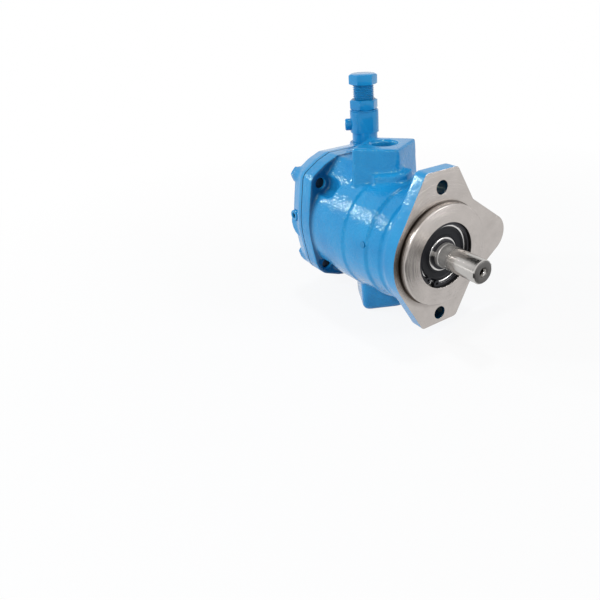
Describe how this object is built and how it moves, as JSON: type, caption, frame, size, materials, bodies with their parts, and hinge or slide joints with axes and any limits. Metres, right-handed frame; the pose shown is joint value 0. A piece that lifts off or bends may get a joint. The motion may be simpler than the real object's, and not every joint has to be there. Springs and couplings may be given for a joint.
{
  "type": "hydraulic piston pump",
  "caption": "Inline axial piston pump with a two-bolt flange, a keyed shaft and a screw-adjusted pressure compensator on its rear cover.",
  "frame": {"origin": "centre of the pilot on the mounting face", "axes": "-Y along the shaft out of the pump, +Y towards the rear cover, +Z towards the pressure compensator and one of the bolt holes, +X to the right seen from the shaft end"},
  "size_m": [0.125, 0.1974, 0.1921],
  "materials": {
    "blue_paint": "gloss paint over rough castings",
    "painted_steel": "gloss paint",
    "gasket": "matt fibre sheet",
    "bearing_steel": "polished",
    "cage_steel": "pressed sheet",
    "seal_rubber": "moulded",
    "black_spring_steel": "blackened",
    "ground_steel": "ground",
    "spring_steel": "drawn wire",
    "bare_iron": "machined",
    "bronze": "machined",
    "plug_steel": "plated"
  },
  "bodies": {
    "pump_body": {"housing": "blue_paint", "rear_cover": "blue_paint", "compensator_body": "blue_paint", "cover_screws": "painted_steel", "compensator_side_plug": "painted_steel", "cover_gasket": "gasket", "bearing_outer_race": "bearing_steel", "rear_bearing_cup": "bearing_steel", "bearing_seals": "seal_rubber", "shaft_seal": "seal_rubber", "compensator_oring": "seal_rubber", "bore_retaining_ring": "black_spring_steel", "pintle_pins": "ground_steel", "control_piston": "ground_steel", "yoke_spring_seat": "ground_steel", "yoke_spring": "spring_steel", "compensator_spring": "spring_steel", "yoke": "bare_iron", "housing_side_plug": "bare_iron", "wear_plate": "bronze", "port_plate": "bronze", "pintle_bearings": "bronze", "cover_side_plug": "plug_steel"},
    "rotating_group": {"shaft": "ground_steel", "shaft_key": "ground_steel", "bearing_inner_race": "bearing_steel", "shaft_retaining_ring": "ground_steel", "shoe_plate": "ground_steel", "spherical_washer": "ground_steel", "block_push_pins": "ground_steel", "block_spring_washer": "ground_steel", "block_spring": "spring_steel", "cylinder_block": "ground_steel", "piston_1": "ground_steel", "piston_2": "ground_steel", "piston_3": "ground_steel", "piston_4": "ground_steel", "piston_5": "ground_steel", "piston_6": "ground_steel", "piston_7": "ground_steel", "piston_8": "ground_steel", "piston_9": "ground_steel", "shoe_1": "bronze", "shoe_2": "bronze", "shoe_3": "bronze", "shoe_4": "bronze", "shoe_5": "bronze", "shoe_6": "bronze", "shoe_7": "bronze", "shoe_8": "bronze", "shoe_9": "bronze"},
    "ball_set": {"bearing_balls": "bearing_steel", "bearing_cage": "cage_steel"},
    "roller_set": {"rear_bearing_rollers": "bearing_steel", "rear_bearing_cage": "cage_steel"},
    "compensator_seat": {"spring_seat": "ground_steel"},
    "compensator_screw": {"adjusting_screw": "painted_steel"},
    "nut_washer": {"lock_nut_washer": "painted_steel"},
    "nut": {"lock_nut": "painted_steel"},
    "spool": {"compensator_spool": "ground_steel"}
  },
  "joints": [
    {"name": "shaft_spin", "type": "hinge", "parent": "pump_body", "child": "rotating_group", "pos_m": [0, 0, 0], "axis": [0, -1, 0], "continuous": true},
    {"name": "ball_set_spin", "type": "hinge", "parent": "pump_body", "child": "ball_set", "pos_m": [0, 0, 0], "axis": [0, -1, 0], "continuous": true},
    {"name": "roller_set_spin", "type": "hinge", "parent": "pump_body", "child": "roller_set", "pos_m": [0, 0, 0], "axis": [0, -1, 0], "continuous": true},
    {"name": "seat_travel", "type": "slide", "parent": "pump_body", "child": "compensator_seat", "axis": [0, 0, 1], "range_m": [-0.00635, 0.00317], "deforming": ["compensator_spring"]},
    {"name": "screw_turn", "type": "hinge", "parent": "compensator_seat", "child": "compensator_screw", "pos_m": [0.0292, 0.135, 0.11], "axis": [0, 0, 1], "range_deg": [-1441, 721]},
    {"name": "nut_travel", "type": "slide", "parent": "pump_body", "child": "nut_washer", "axis": [0, 0, 1], "range_m": [0, 0.0016]},
    {"name": "lock_nut_turn", "type": "hinge", "parent": "nut_washer", "child": "nut", "pos_m": [0.0292, 0.135, 0.095], "axis": [0, 0, 1], "range_deg": [0, 360]},
    {"name": "spool_slide", "type": "slide", "parent": "pump_body", "child": "spool", "axis": [0, 0, 1], "range_m": [0, 0.0025], "stiffness_N_per_m": 400}
  ],
  "couplings": [
    {"joint": "ball_set_spin", "follows": "shaft_spin", "ratio": 0.3677},
    {"joint": "roller_set_spin", "follows": "shaft_spin", "ratio": 0.4237},
    {"joint": "screw_turn", "follows": "seat_travel", "rad_per_m": 3957.9},
    {"joint": "nut_travel", "follows": "lock_nut_turn", "m_per_rad": 0.00025266}
  ]
}
